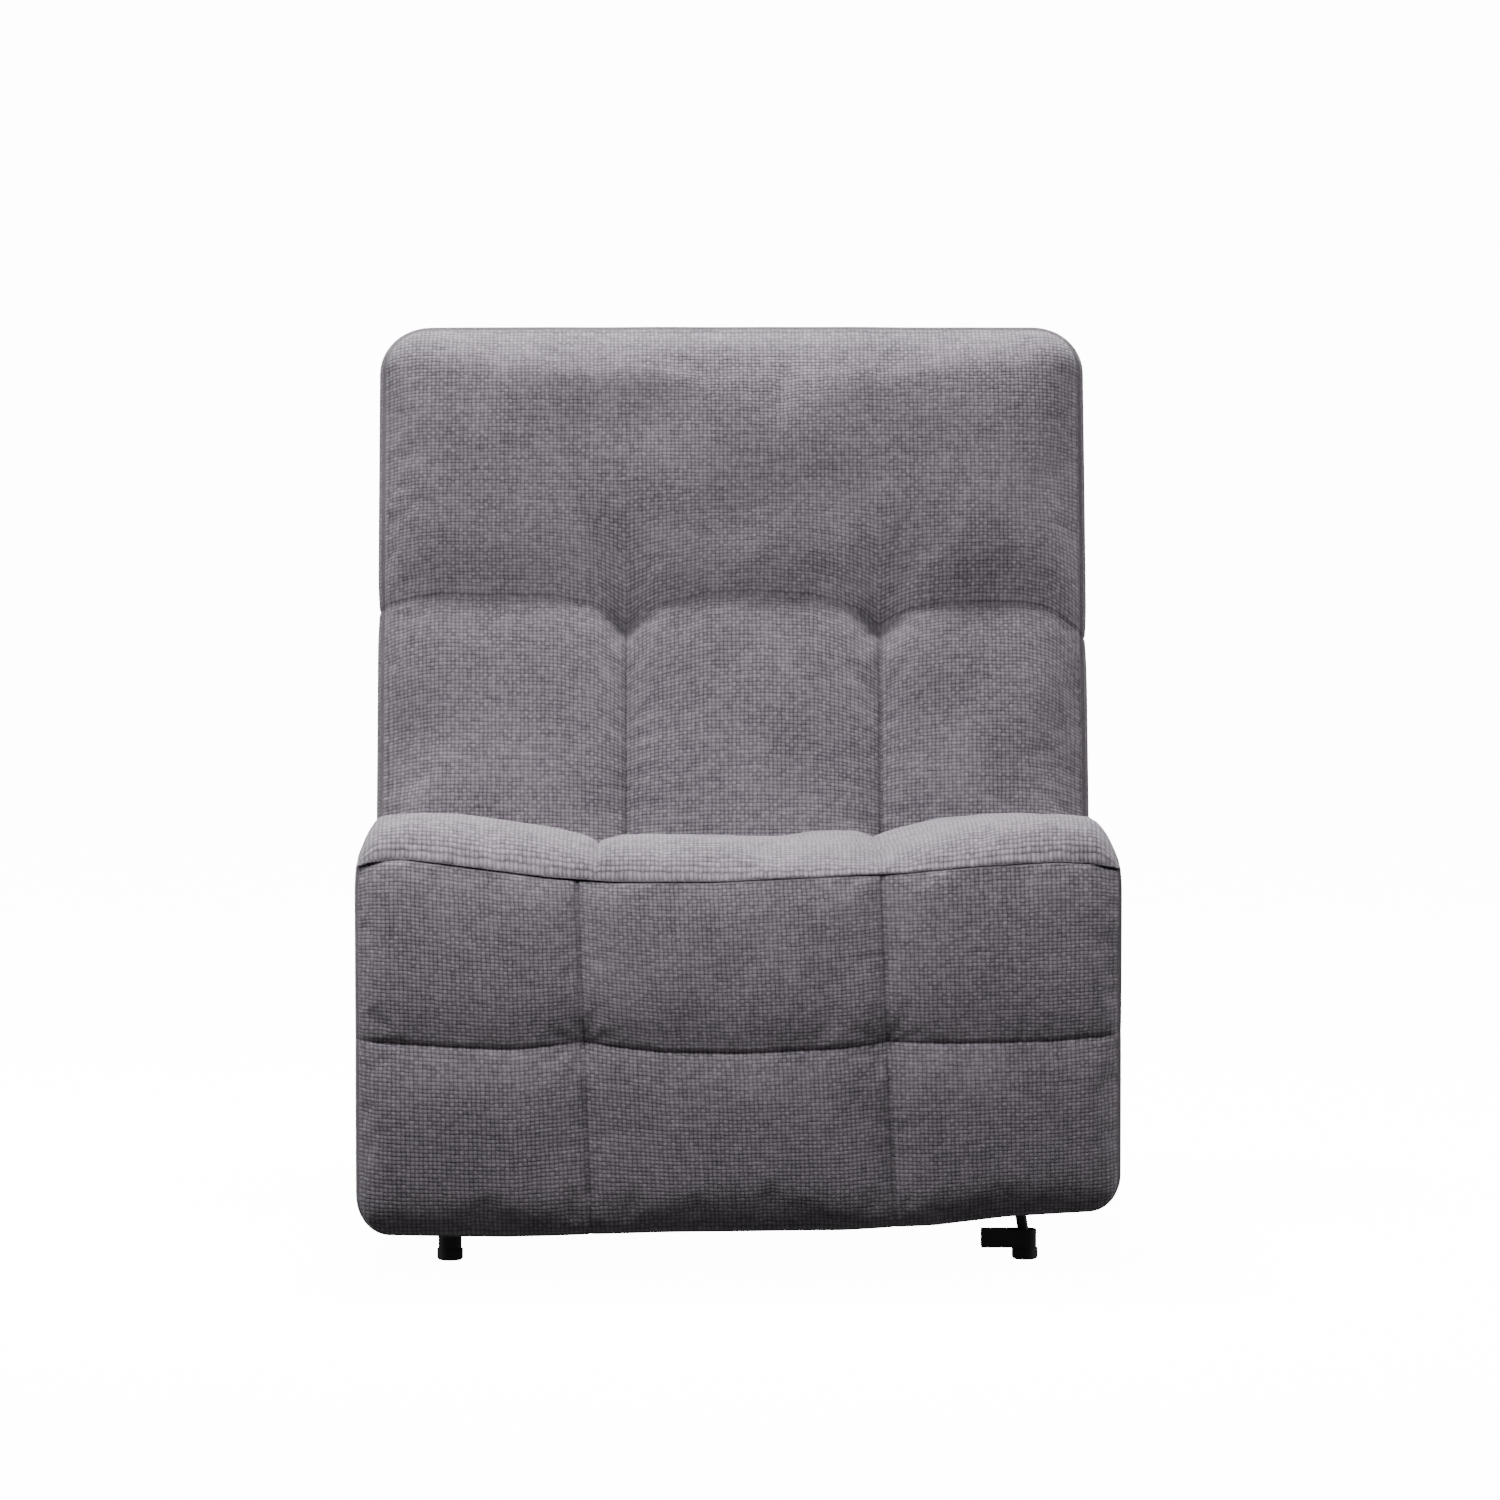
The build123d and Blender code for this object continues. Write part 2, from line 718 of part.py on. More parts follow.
frame_front = back_slab_low - gap
for side, name in ((-1, "left"), (1, "right")):
    with BuildPart() as back_side:
        with BuildSketch(back_plane.offset(back_rear + skin)):
            with Locations((side * (back_side_x + back_panel_thick / 2), (back_frame_low + stile_high) / 2)):
                Rectangle(back_panel_thick, stile_high - back_frame_low)
        extrude(amount=frame_front - back_rear - skin)
    finish(back_side, f"{name}_back_panel")
    with BuildPart() as back_cover:
        with BuildSketch(back_plane.offset(back_rear)):
            cover_x = back_side_x + back_panel_thick
            with Locations((side * (cover_x + skin / 2), (back_frame_low + stile_high) / 2)):
                Rectangle(skin, stile_high - back_frame_low)
        extrude(amount=frame_front - back_rear)
    finish(back_cover, f"{name}_back_cover")

bracket_reaches = (60.0, 190.0)
bracket_depth = 25.0
with BuildPart() as back_brackets:
    with BuildSketch(side_sketch_plane(swing_x)):
        with Locations(back_pivot, recline_ear):
            Circle(ear_radius)
        for reach in bracket_reaches:
            spot = back_plane.offset(bracket_depth).from_local_coords(Vector(0, reach, 0))
            with Locations((spot.Y, spot.Z)):
                Circle(ear_radius)
        make_hull()
    extrude(amount=plate_thick)
    mirror(about=Plane.YZ)
finish(back_brackets, "back_brackets")

stile_front = 55.0
stile_back = 5.0
stile_low = 40.0
with BuildPart() as back_stiles:
    with BuildSketch(back_plane.offset(stile_back)):
        for side in (-1, 1):
            with Locations((side * (stile_x + back_side_x) / 2, (stile_low + stile_high) / 2)):
                Rectangle(back_side_x - stile_x, stile_high - stile_low)
    extrude(amount=stile_front - stile_back)
finish(back_stiles, "back_stiles")

cross_rail_high = 45.0
cross_rail_rear = 15.0
cross_rail_front = 45.0
bottom_rail_h = 75.0
for label, centre_h, low_n, high_n, reach in (
    ("back_bottom_rail", bottom_rail_h, cross_rail_rear, cross_rail_front, swing_x),
    ("back_middle_rail", tuft_height, cross_rail_rear, cross_rail_front, stile_x),
    ("back_top_rail", stile_high - cross_rail_high / 2, cross_rail_rear, stile_front, stile_x),
):
    with BuildPart() as cross_rail:
        with BuildSketch(back_plane.offset(low_n)):
            with Locations((0, centre_h)):
                Rectangle(2 * reach, cross_rail_high)
        extrude(amount=high_n - low_n)
    finish(cross_rail, label)

rear_cover_thick = 4.0
rear_rail_high = 30.0
rear_rail_thick = 22.0
rear_rail_low = 60.0
rear_rail_top = stile_high - rear_rail_high / 2
for label, centre_h in (("back_rear_top_rail", rear_rail_top), ("back_rear_low_rail", rear_rail_low)):
    with BuildPart() as rear_rail:
        with BuildSketch(back_plane.offset(back_rear + rear_cover_thick)):
            with Locations((0, centre_h)):
                Rectangle(2 * back_side_x, rear_rail_high)
        extrude(amount=rear_rail_thick)
    finish(rear_rail, label)

rear_cover_low = 10.0
with BuildPart() as rear_cover:
    with BuildSketch(back_plane.offset(back_rear)):
        with Locations((0, (rear_cover_low + stile_high) / 2)):
            Rectangle(2 * (back_side_x + back_panel_thick) - 2 * gap, stile_high - rear_cover_low)
    extrude(amount=rear_cover_thick)
finish(rear_cover, "back_rear_cover")

with BuildPart() as top_cover:
    with BuildSketch(back_plane.offset(back_rear)):
        with Locations((0, (stile_high + gap + back_top) / 2)):
            Rectangle(2 * back_half, back_top - stile_high - gap)
    extrude(amount=frame_front - back_rear)
    long_edges = top_cover.edges().filter_by(Axis((0, 0, 0), back_plane.z_dir))
    fillet(long_edges.group_by(Axis.Z)[-1], radius=top_roll - 4)
finish(top_cover, "back_top_cover")

webbing_thick = 3.0
webbing_wide = 50.0
webbing_lap = 18.0
webbing_low = 120.0
webbing_pitch = 80.0
webbing_bands = 6
with BuildPart() as back_webbing:
    with BuildSketch(back_plane.offset(stile_front)):
        for band in range(webbing_bands):
            with Locations((0, webbing_low + band * webbing_pitch)):
                Rectangle(2 * (stile_x + webbing_lap), webbing_wide)
    extrude(amount=webbing_thick)
finish(back_webbing, "back_webbing")

back_pad_corner = 26.0
with BuildPart() as back_pad:
    with BuildSketch(back_plane.offset(back_slab_low)):
        with Locations((0, (back_pad_low + back_top) / 2)):
            Rectangle(2 * back_half, back_top - back_pad_low)
    extrude(amount=back_slab_face - back_slab_low)
    deep_edges = back_pad.edges().filter_by(Axis((0, 0, 0), back_plane.z_dir))
    fillet(deep_edges.group_by(Axis.Z)[-1], radius=back_pad_corner)
    face_plane = back_plane.offset(back_slab_face)
    rise = back_face - back_slab_face
    low_columns = ((-back_half + 4, tuft_left), (tuft_left, tuft_right), (tuft_right, back_half - 4))
    for left, right in low_columns:
        cell(face_plane, left + 1, right - 1, back_pad_low + 2, tuft_height - 1, rise, 30.0, arch_rise - 8)
    outlines = []
    for height_share, draw in ((0.0, 0.0), (0.62, 12.0), (1.0, 40.0)):
        side_x = back_half - 6 - draw
        low_h = tuft_height + 1 + draw
        top_h = back_top - 6 - draw
        crest = arch_rise - 8
        with BuildSketch(face_plane.offset(rise * height_share)) as outline:
            with BuildLine():
                for start_x, end_x in ((-side_x, tuft_left), (tuft_left, tuft_right), (tuft_right, side_x)):
                    crest_spot = ((start_x + end_x) / 2, low_h + crest)
                    ThreePointArc((start_x, low_h), crest_spot, (end_x, low_h))
                Line((side_x, low_h), (side_x, top_h))
                Line((side_x, top_h), (-side_x, top_h))
                Line((-side_x, top_h), (-side_x, low_h))
            make_face()
        outlines.append(outline.sketch.face())
    loft(outlines)
finish(back_pad, "back_pad")
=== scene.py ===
import json
import math
import bpy
import numpy as np
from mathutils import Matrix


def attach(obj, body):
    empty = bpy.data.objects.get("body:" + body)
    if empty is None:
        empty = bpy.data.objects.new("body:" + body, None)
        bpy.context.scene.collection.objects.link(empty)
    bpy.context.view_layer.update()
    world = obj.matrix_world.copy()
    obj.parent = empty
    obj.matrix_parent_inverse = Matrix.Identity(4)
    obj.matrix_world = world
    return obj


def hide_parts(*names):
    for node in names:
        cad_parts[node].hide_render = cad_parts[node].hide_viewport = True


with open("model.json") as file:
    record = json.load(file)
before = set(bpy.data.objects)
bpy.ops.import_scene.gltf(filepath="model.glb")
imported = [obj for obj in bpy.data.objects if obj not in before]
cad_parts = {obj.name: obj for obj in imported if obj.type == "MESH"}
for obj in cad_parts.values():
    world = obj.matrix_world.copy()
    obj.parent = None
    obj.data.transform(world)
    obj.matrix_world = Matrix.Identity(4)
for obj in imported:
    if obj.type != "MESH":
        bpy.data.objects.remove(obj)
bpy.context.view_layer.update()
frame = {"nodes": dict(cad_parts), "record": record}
nodes = frame["nodes"]


# ------------------------------------------------------------------ materials
# Woven grey chenille on every upholstered face, black enamelled steel, planed
# timber, plywood, drawn wire and moulded plastic on the frame pieces.
class Socket:
    """A shader value: arithmetic on it adds Math nodes to its tree."""

    def __init__(self, tree, out):
        self.tree = tree
        self.out = out

    def math(self, operation, other=None, third=None):
        node = self.tree.nodes.new("ShaderNodeMath")
        node.operation = operation
        for index, value in enumerate((self, other, third)):
            if isinstance(value, Socket):
                self.tree.links.new(value.out, node.inputs[index])
            elif value is not None:
                node.inputs[index].default_value = value
        return Socket(self.tree, node.outputs[0])

    def __add__(self, other):
        return self.math("ADD", other)

    def __radd__(self, other):
        return self.math("ADD", other)

    def __sub__(self, other):
        return self.math("SUBTRACT", other)

    def __rsub__(self, other):
        return (self * -1.0).math("ADD", other)

    def __mul__(self, other):
        return self.math("MULTIPLY", other)

    def __rmul__(self, other):
        return self.math("MULTIPLY", other)

    def __truediv__(self, other):
        return self.math("DIVIDE", other)

    def __pow__(self, other):
        return self.math("POWER", other)


class Tree:
    """A node tree with one method for any node."""

    def __init__(self, tree):
        self.tree = tree

    def node(self, kind, settings=None, output=0, **values):
        node = self.tree.nodes.new(kind)
        for key, value in (settings or {}).items():
            setattr(node, key, value)
        for key, value in values.items():
            index = int(key[1:]) if key[0] == "i" and key[1:].isdigit() else key.replace("_", " ")
            if isinstance(value, Socket):
                self.tree.links.new(value.out, node.inputs[index])
            else:
                node.inputs[index].default_value = value
        return Socket(self.tree, node.outputs[output])


class Paint(Tree):
    """A new material with its Principled shader."""

    def __init__(self, name):
        self.material = bpy.data.materials.new(name)
        self.material.use_nodes = True
        super().__init__(self.material.node_tree)
        self.shader = self.tree.nodes["Principled BSDF"]

    def set(self, **values):
        for key, value in values.items():
            socket = self.shader.inputs[key.replace("_", " ")]
            if isinstance(value, Socket):
                self.tree.links.new(value.out, socket)
            else:
                socket.default_value = value
        return self.material


def mix(paint, factor, first, second):
    """Colour blend of two colours or colour sockets."""
    settings = {"data_type": "RGBA"}
    return paint.node("ShaderNodeMix", settings, output=2, i0=factor, i6=first, i7=second)


def weave(name, shade, source, axis_u=(1, 0, 0), axis_v=(0, 1, 0), pitch=(0.0046, 0.0041)):
    """Plain weave of thick slubbed chenille yarn, one over and one under."""
    paint = Paint(name)
    if source == "weave":
        place = paint.node("ShaderNodeAttribute", {"attribute_name": "weave"}, output=1)
    else:
        place = paint.node("ShaderNodeTexCoord", output=3)
    wobble = paint.node("ShaderNodeTexNoise", output=1, Vector=place, Scale=70.0, Detail=3.0)
    dot = {"operation": "DOT_PRODUCT"}
    shift = {"operation": "MULTIPLY_ADD"}
    pull = paint.node("ShaderNodeVectorMath", shift, i0=wobble, i1=(0.0026,) * 3, i2=place)
    across = paint.node("ShaderNodeVectorMath", dot, output=1, i0=pull, i1=axis_u) / pitch[0]
    along = paint.node("ShaderNodeVectorMath", dot, output=1, i0=pull, i1=axis_v) / pitch[1]
    part_u = across.math("FRACT")
    part_v = along.math("FRACT")
    cell_u = across.math("FLOOR")
    cell_v = along.math("FLOOR")
    over = ((cell_u + cell_v) * 0.5).math("FRACT") * 2.0
    round_u = 1.0 - ((part_u * 2.0 - 1.0) ** 2.0)
    round_v = 1.0 - ((part_v * 2.0 - 1.0) ** 2.0)
    warp = round_u.math("SQRT") * (0.35 + 0.65 * round_v)
    weft = round_v.math("SQRT") * (0.35 + 0.65 * round_u)
    height = warp * (1.0 - over) * 0.86 + weft * over
    cell = paint.node("ShaderNodeCombineXYZ", i0=cell_u, i1=cell_v, i2=0.0)
    yarn = paint.node("ShaderNodeTexWhiteNoise", {"noise_dimensions": "3D"}, Vector=cell)
    fuzz = paint.node("ShaderNodeTexNoise", Vector=place, Scale=800.0, Detail=3.0)
    rows = []
    for stretch in ((26.0, 230.0, 230.0), (230.0, 26.0, 230.0)):
        drawn = paint.node("ShaderNodeVectorMath", {"operation": "MULTIPLY"}, i0=place, i1=stretch)
        rows.append(paint.node("ShaderNodeTexNoise", Vector=drawn, Scale=1.0, Detail=2.0))
    slub = rows[0] * 0.65 + rows[1] * 0.35
    cloud = paint.node("ShaderNodeTexNoise", Vector=place, Scale=9.0, Detail=4.0)
    # Base colour rises with the weave height: darker in the gaps between yarns is painted shade, lighter
    # on the yarn crests is painted highlight; the yarn, fuzz, slub and cloud terms are the cloth's
    # random tone.
    tone = 0.06 + 0.76 * height + (yarn - 0.5) * 0.24 + (fuzz - 0.5) * 0.6
    tone = tone + (slub - 0.5) * 0.65 + (cloud - 0.5) * 0.5
    # The wide span from low to high carries the painted shade in the yarn gaps and the painted highlight
    # on the yarn crests.
    low = (shade[0] * 0.22, shade[1] * 0.22, shade[2] * 0.24, 1.0)
    high = (shade[0] * 1.75, shade[1] * 1.75, shade[2] * 1.75, 1.0)
    relief = height * 0.8 + (fuzz - 0.5) * 0.6 + (slub - 0.5) * 0.5
    bump = paint.node("ShaderNodeBump", Height=relief, Distance=0.0014, Strength=0.8)
    return paint.set(
        Base_Color=mix(paint, tone, low, high),
        Normal=bump,
        Roughness=0.92,
        Sheen_Weight=0.2,
        Sheen_Roughness=0.5,
        Sheen_Tint=(0.9, 0.88, 0.92, 1.0),
        Specular_IOR_Level=0.12,
    )


def finish(name, colour, rough, metal=0.0, grain=120.0, stretch=(1, 1, 1), depth=0.0002, spread=0.12):
    """Plain solid finish with a little uneven tone, roughness and relief."""
    paint = Paint(name)
    place = paint.node("ShaderNodeTexCoord", output=3)
    place = paint.node("ShaderNodeVectorMath", {"operation": "MULTIPLY"}, i0=place, i1=stretch)
    noise = paint.node("ShaderNodeTexNoise", Vector=place, Scale=grain, Detail=4.0)
    low = tuple(c * (1 - spread) for c in colour) + (1.0,)
    high = tuple(min(1.0, c * (1 + spread)) for c in colour) + (1.0,)
    bump = paint.node("ShaderNodeBump", Height=noise, Distance=depth, Strength=0.6)
    return paint.set(
        Base_Color=mix(paint, noise, low, high),
        Roughness=(noise - 0.5) * 0.2 + rough,
        Metallic=metal,
        Normal=bump,
    )


grey = (0.190, 0.168, 0.192)
cloth = weave("chenille", grey, "weave")
cloth_side = weave("chenille_side", grey, "object", (0, 1, 0), (0, 0, 1))
cloth_front = weave("chenille_front", grey, "object", (1, 0, 0), (0, 0, 1))
looks = {
    "timber": finish("pine", (0.46, 0.31, 0.17), 0.6, grain=60.0, stretch=(0.4, 6, 6), spread=0.3),
    "plywood": finish("plywood", (0.42, 0.29, 0.17), 0.65, grain=50.0, stretch=(5, 5, 0.5), spread=0.25),
    "deck_cloth": finish("deck_cloth", (0.012, 0.012, 0.013), 0.95, grain=900.0, depth=0.0003),
    "webbing": finish("webbing", (0.06, 0.05, 0.045), 0.9, grain=700.0, depth=0.0004),
    "frame_paint": finish("black_enamel", (0.008, 0.008, 0.009), 0.38, grain=400.0, depth=0.00005),
    "zinc_steel": finish("zinc_plate", (0.55, 0.56, 0.58), 0.35, metal=1.0, grain=300.0, depth=0.00003),
    "spring_wire": finish("spring_wire", (0.2, 0.2, 0.21), 0.4, metal=1.0, grain=500.0, depth=0.00003),
    "foot_plastic": finish("foot_plastic", (0.01, 0.01, 0.01), 0.55, grain=600.0, depth=0.0001),
    "motor_plastic": finish("motor_plastic", (0.02, 0.02, 0.022), 0.5, grain=900.0, depth=0.0001),
    "button_plastic": finish("button_plastic", (0.06, 0.06, 0.063), 0.45, grain=900.0, depth=0.00008),
}
slots = {piece["node"]: piece["material_slot"] for piece in frame["record"]["subparts"]}
for name, node in nodes.items():
    look = looks.get(slots[name])
    if look is None:
        faces_side = "side_cover" in name or name in ("left_back_cover", "right_back_cover")
        look = cloth_side if faces_side else cloth_front
    node.data.materials.clear()
    node.data.materials.append(look)


# --------------------------------------------------------------- pad surfaces
# Every pad is foam and wadding under a sewn cover: a puffed face between seams
# and a boxing strip round its edge, closed underneath.
def lay(start, end, radius, step, seams=(), bends=8):
    """Places along one direction: even in the middle, closer at both rounded edges and
    closest beside each seam."""
    turn = np.linspace(0, math.pi / 2, bends + 1)
    low = start + radius * (1 - np.cos(turn))
    high = end - radius * (1 - np.cos(turn))[::-1]
    count = max(2, int(round((end - start - 2 * radius) / step)))
    places = np.concatenate([low[:-1], np.linspace(low[-1], high[0], count + 1), high[1:]])
    beside = np.array([-0.0062, -0.0036, -0.0018, -0.0007, 0.0007, 0.0018, 0.0036, 0.0062])
    for seam in seams:
        places = np.concatenate([places[np.abs(places - seam) > 0.0075], seam + beside])
    return np.sort(places)


def face_points(p, q, radii, top, square):
    """Face of a pad over places p and q. Corners come from the square to disc map within
    the edge radii, weakened at the end named by square (-1 first, 1 last, 0 none). In
    top(P, Q, cap, nose) cap runs 0 to 1 over the rounded edge and nose is the share of
    that rounding that faces down the Q direction."""
    P, Q = np.meshgrid(p, q, indexing="ij")
    wide, deep = radii
    edge_p = np.minimum((P - p[0] - wide) / wide, 0.0) + np.maximum((P - p[-1] + wide) / wide, 0.0)
    edge_q = np.minimum((Q - q[0] - deep) / deep, 0.0) + np.maximum((Q - q[-1] + deep) / deep, 0.0)
    disc_p = edge_p * np.sqrt(1 - edge_q ** 2 / 2)
    disc_q = edge_q * np.sqrt(1 - edge_p ** 2 / 2)
    keep = np.where(edge_q * square > 0, 0.2, 1.0)
    P = P + (disc_p - edge_p) * wide * keep
    Q = Q + (disc_q - edge_q) * deep * keep
    far = disc_p ** 2 + disc_q ** 2
    cap = 1 - np.sqrt(np.clip(1 - 0.96 * far, 0, 1))
    nose = np.where(disc_q < 0, disc_q ** 2 / np.maximum(far, 1e-9), 0.0)
    return np.stack([P, Q, top(P, Q, cap / 0.8, nose)], -1)


def outline_ring(n, m):
    """Point numbers once round the edge of an n by m grid."""
    index = np.arange(n * m).reshape(n, m)
    return index, np.concatenate([index[:, 0], index[-1, 1:], index[-2::-1, -1], index[0, -2:0:-1]])


def quads(index):
    """Four-sided faces over a grid of point numbers."""
    return np.stack([index[:-1, :-1], index[1:, :-1], index[1:, 1:], index[:-1, 1:]], -1).reshape(-1, 4)


def mesh_object(name, verts, faces, weave_place, material):
    """Smooth mesh whose points carry their flat place in the cloth as the attribute weave."""
    mesh = bpy.data.meshes.new(name)
    mesh.from_pydata(verts.tolist(), [], faces.tolist())
    layer = mesh.attributes.new("weave", "FLOAT_VECTOR", "POINT")
    layer.data.foreach_set("vector", weave_place.astype(np.float32).ravel())
    mesh.materials.append(material)
    mesh.polygons.foreach_set("use_smooth", [True] * len(mesh.polygons))
    mesh.update()
    piece = bpy.data.objects.new(name, mesh)
    bpy.context.scene.collection.objects.link(piece)
    return piece


def inflate(points, held, limit, pressure=4.0):
    """Cloth simulation of the cover on a coarse grid of points: pressure lifts it between
    its held seams, with gravity off. Gives how far each point moved, at most limit."""
    n, m = points.shape[:2]
    index, ring = outline_ring(n, m)
    cover = mesh_object("cover", points.reshape(-1, 3), quads(index), points.reshape(-1, 3), cloth)
    hold = held.ravel().copy()
    hold[ring] = 1.0
    group = cover.vertex_groups.new(name="held")
    for number in np.flatnonzero(hold > 0.02):
        group.add([int(number)], float(hold[number]), "REPLACE")
    modifier = cover.modifiers.new("cloth", "CLOTH")
    settings = modifier.settings
    settings.quality = 6
    settings.mass = 0.25
    settings.tension_stiffness = settings.compression_stiffness = 20.0
    settings.shear_stiffness = 8.0
    settings.bending_stiffness = 1.2
    settings.shrink_min = -0.012
    settings.use_pressure = True
    settings.uniform_pressure_force = pressure
    settings.effector_weights.gravity = 0.0
    settings.vertex_group_mass = "held"
    modifier.collision_settings.use_collision = False
    scene = bpy.context.scene
    for number in range(1, 21):
        scene.frame_set(number)
    shape = cover.evaluated_get(bpy.context.evaluated_depsgraph_get()).to_mesh()
    settled = np.empty(n * m * 3)
    shape.vertices.foreach_get("co", settled)
    scene.frame_set(1)
    mesh = cover.data
    bpy.data.objects.remove(cover)
    bpy.data.meshes.remove(mesh)
    moved = settled.reshape(n, m, 3) - points
    length = np.maximum(np.linalg.norm(moved, axis=2, keepdims=True), 1e-9)
    return moved * (limit * np.tanh(length / limit) / length)


def refine(field, coarse, fine):
    """Smooth curve through coarse rows, read at the fine places (cubic between neighbours)."""
    start = np.clip(np.searchsorted(coarse, fine) - 1, 0, len(coarse) - 2)
    slope = np.gradient(field, coarse, axis=0)
    span = (coarse[start + 1] - coarse[start])[:, None, None]
    t = ((fine - coarse[start]) / (coarse[start + 1] - coarse[start]))[:, None, None]
    first = (1 + 2 * t) * (1 - t) ** 2 * field[start] + t * (1 - t) ** 2 * span * slope[start]
    return first + t * t * (3 - 2 * t) * field[start + 1] + t * t * (t - 1) * span * slope[start + 1]


def pad_mesh(sizes, radii, top, base, bulge, seams, held, limit, square=0, wall_steps=10):
    """Closed pad: the coarse face is inflated, its movement is laid on the fine face, and
    the wall down to base(P, Q) bows out by bulge times the sine of its height share."""
    fine_step, coarse_step = 0.0046, 0.0068
    fine = [lay(*ends, radius, fine_step, lines) for ends, radius, lines in zip(sizes, radii, seams)]
    coarse = [lay(*ends, radius, coarse_step, (), 5) for ends, radius in zip(sizes, radii)]
    rough = face_points(*coarse, radii, lambda P, Q, cap, nose: top(P, Q, cap, nose, False), square)
    moved = inflate(rough, held(rough[:, :, 0], rough[:, :, 1]), limit)
    moved = refine(moved, coarse[0], fine[0])
    moved = refine(moved.transpose(1, 0, 2), coarse[1], fine[1]).transpose(1, 0, 2)
    points = face_points(*fine, radii, lambda P, Q, cap, nose: top(P, Q, cap, nose, True), square)
    flat_face = points * [1, 1, 0]
    B = base(points[:, :, 0], points[:, :, 1])
    P, Q = points[:, :, 0], points[:, :, 1]
    points = points + moved
    n, m = P.shape
    index, ring = outline_ring(n, m)
    upper = points.reshape(-1, 3)
    edge = upper[ring]
    foot = np.stack([edge[:, 0], edge[:, 1], B.ravel()[ring]], -1)
    ahead = np.roll(edge, -1, 0) - np.roll(edge, 1, 0)
    out = np.stack([ahead[:, 1], -ahead[:, 0]], -1)
    out /= np.maximum(np.linalg.norm(out, axis=1, keepdims=True), 1e-9)
    share = np.linspace(0, 1, wall_steps + 1)[1:, None, None]
    wall = edge[None] * (1 - share) + foot[None] * share
    tall = np.clip((edge[:, 2] - foot[:, 2]) / 0.04, 0, 1)
    bow = bulge * np.sin(math.pi * share[:, :, 0]) ** 0.6 * tall
    wall[:, :, :2] += out[None] * bow[:, :, None]
    count = len(ring)
    walls = n * m + np.arange(wall_steps * count).reshape(wall_steps, count)
    rings = np.concatenate([ring[None], walls], 0)
    after = np.roll(rings, -1, 1)
    side = np.stack([rings[:-1], rings[1:], after[1:], after[:-1]], -1).reshape(-1, 4)
    inner = (slice(1, -1), slice(1, -1))
    under_index = np.full((n, m), -1)
    under_index.ravel()[ring] = walls[-1]
    under_index[inner] = np.arange((n - 2) * (m - 2)).reshape(n - 2, m - 2) + n * m + wall_steps * count
    under = np.stack([P[inner].ravel(), Q[inner].ravel(), B[inner].ravel()], -1)
    back = quads(under_index)[:, ::-1]
    verts = np.concatenate([upper, wall.reshape(-1, 3), under])
    length = np.concatenate([[0], np.cumsum(np.linalg.norm(np.diff(edge, axis=0), axis=1))])
    around = np.broadcast_to(length, wall.shape[:2])
    strip = np.stack([around, wall[:, :, 2], np.full_like(around, 0.5)], -1)
    flat = np.concatenate([flat_face.reshape(-1, 3), strip.reshape(-1, 3), under * [1, 1, 0]])
    return verts, np.concatenate([quads(index), side, back]), flat


def valley(distance, width, depth):
    """Soft hollow along a seam, easing out over its width."""
    return -depth * np.exp(-np.abs(distance) / width)


def stitch(distance, sharp, depth=0.0045):
    """The sewn line itself: a narrow fold about 4 mm wide, only on the fine face."""
    return -depth * np.exp(-((distance / 0.0021) ** 2)) if sharp else 0.0


def dimple(P, Q, spots, width, depth):
    """Round pull at each tuft, with soft creases that fan out from it."""
    drop = np.zeros_like(P)
    for number, (x, y) in enumerate(spots):
        r = np.hypot(P - x, Q - y)
        fan = np.arctan2(Q - y, P - x)
        drop -= depth * np.exp(-((r / width) ** 2))
        drop += 0.0014 * np.exp(-r / 0.06) * np.cos(fan * 8 + number) * (1 - np.exp(-r / 0.012))
    return drop


def billow(P, Q, seed, scale, amount):
    """Slow uneven swell: a few sine waves in fixed random directions."""
    random = np.random.default_rng(seed)
    total = np.zeros_like(P)
    for _ in range(7):
        angle, phase = random.uniform(0, math.tau, 2)
        wave = random.uniform(0.6, 1.6) / scale
        total += np.sin((P * math.cos(angle) + Q * math.sin(angle)) * wave * math.tau + phase)
    return total * amount / 7


def near(distance, width=0.006):
    """Hold of a seam on the cover: full on the line, gone a few widths away."""
    return np.exp(-((distance / width) ** 2))


def upholster(name, verts, faces, flat, body, node):
    """Puts a finished pad in the scene, riding on its body, in place of its CAD node."""
    piece = mesh_object(name, verts, faces, flat, cloth)
    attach(piece, body)
    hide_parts(node)


# -------------------------------------------------------------- footrest panel
# Six puffed pockets on a plywood board, sewn down along two upright seams and
# one level seam, with a tuft where they cross.
half_width = 0.40


def across_footrest(x):
    """Height of the level seam across the chair, as it sags between its tufts."""
    return np.interp(
        x,
        [-0.40, -0.30, -0.24, -0.164, -0.08, 0.0, 0.1, 0.157, 0.24, 0.33, 0.40],
        [0.2505, 0.244, 0.2415, 0.248, 0.2385, 0.237, 0.2415, 0.2475, 0.2475, 0.2495, 0.256],
    )


def footrest_top(x):
    """Height of the panel's top edge across the chair."""
    return np.interp(
        x,
        [-0.40, -0.385, -0.352, -0.285, -0.2, -0.13, -0.02]
        + [0.09, 0.175, 0.26, 0.34, 0.375, 0.40],
        [0.434, 0.439, 0.441, 0.4325, 0.4215, 0.4165, 0.4165]
        + [0.4215, 0.4255, 0.433, 0.4375, 0.436, 0.431],
    )


def footrest_low(x):
    """Height of the bottom hem across the chair, lifted towards the right foot."""
    return np.interp(
        x,
        [-0.40, -0.25, -0.1, 0.1, 0.2, 0.28, 0.40],
        [0.046, 0.0435, 0.048, 0.05, 0.055, 0.064, 0.0705],
    )


footrest_tall = 0.39
footrest_seam = footrest_tall / 2
footrest_columns = (-0.1635, 0.157)


def footrest_height(x, q):
    """Height over the floor: bottom hem, level seam and top seam each keep their own line."""
    low, high, b = footrest_low(x), footrest_top(x), q / footrest_tall
    return low + (high - low) * b + (across_footrest(x) - (low + high) / 2) * 4 * b * (1 - b)


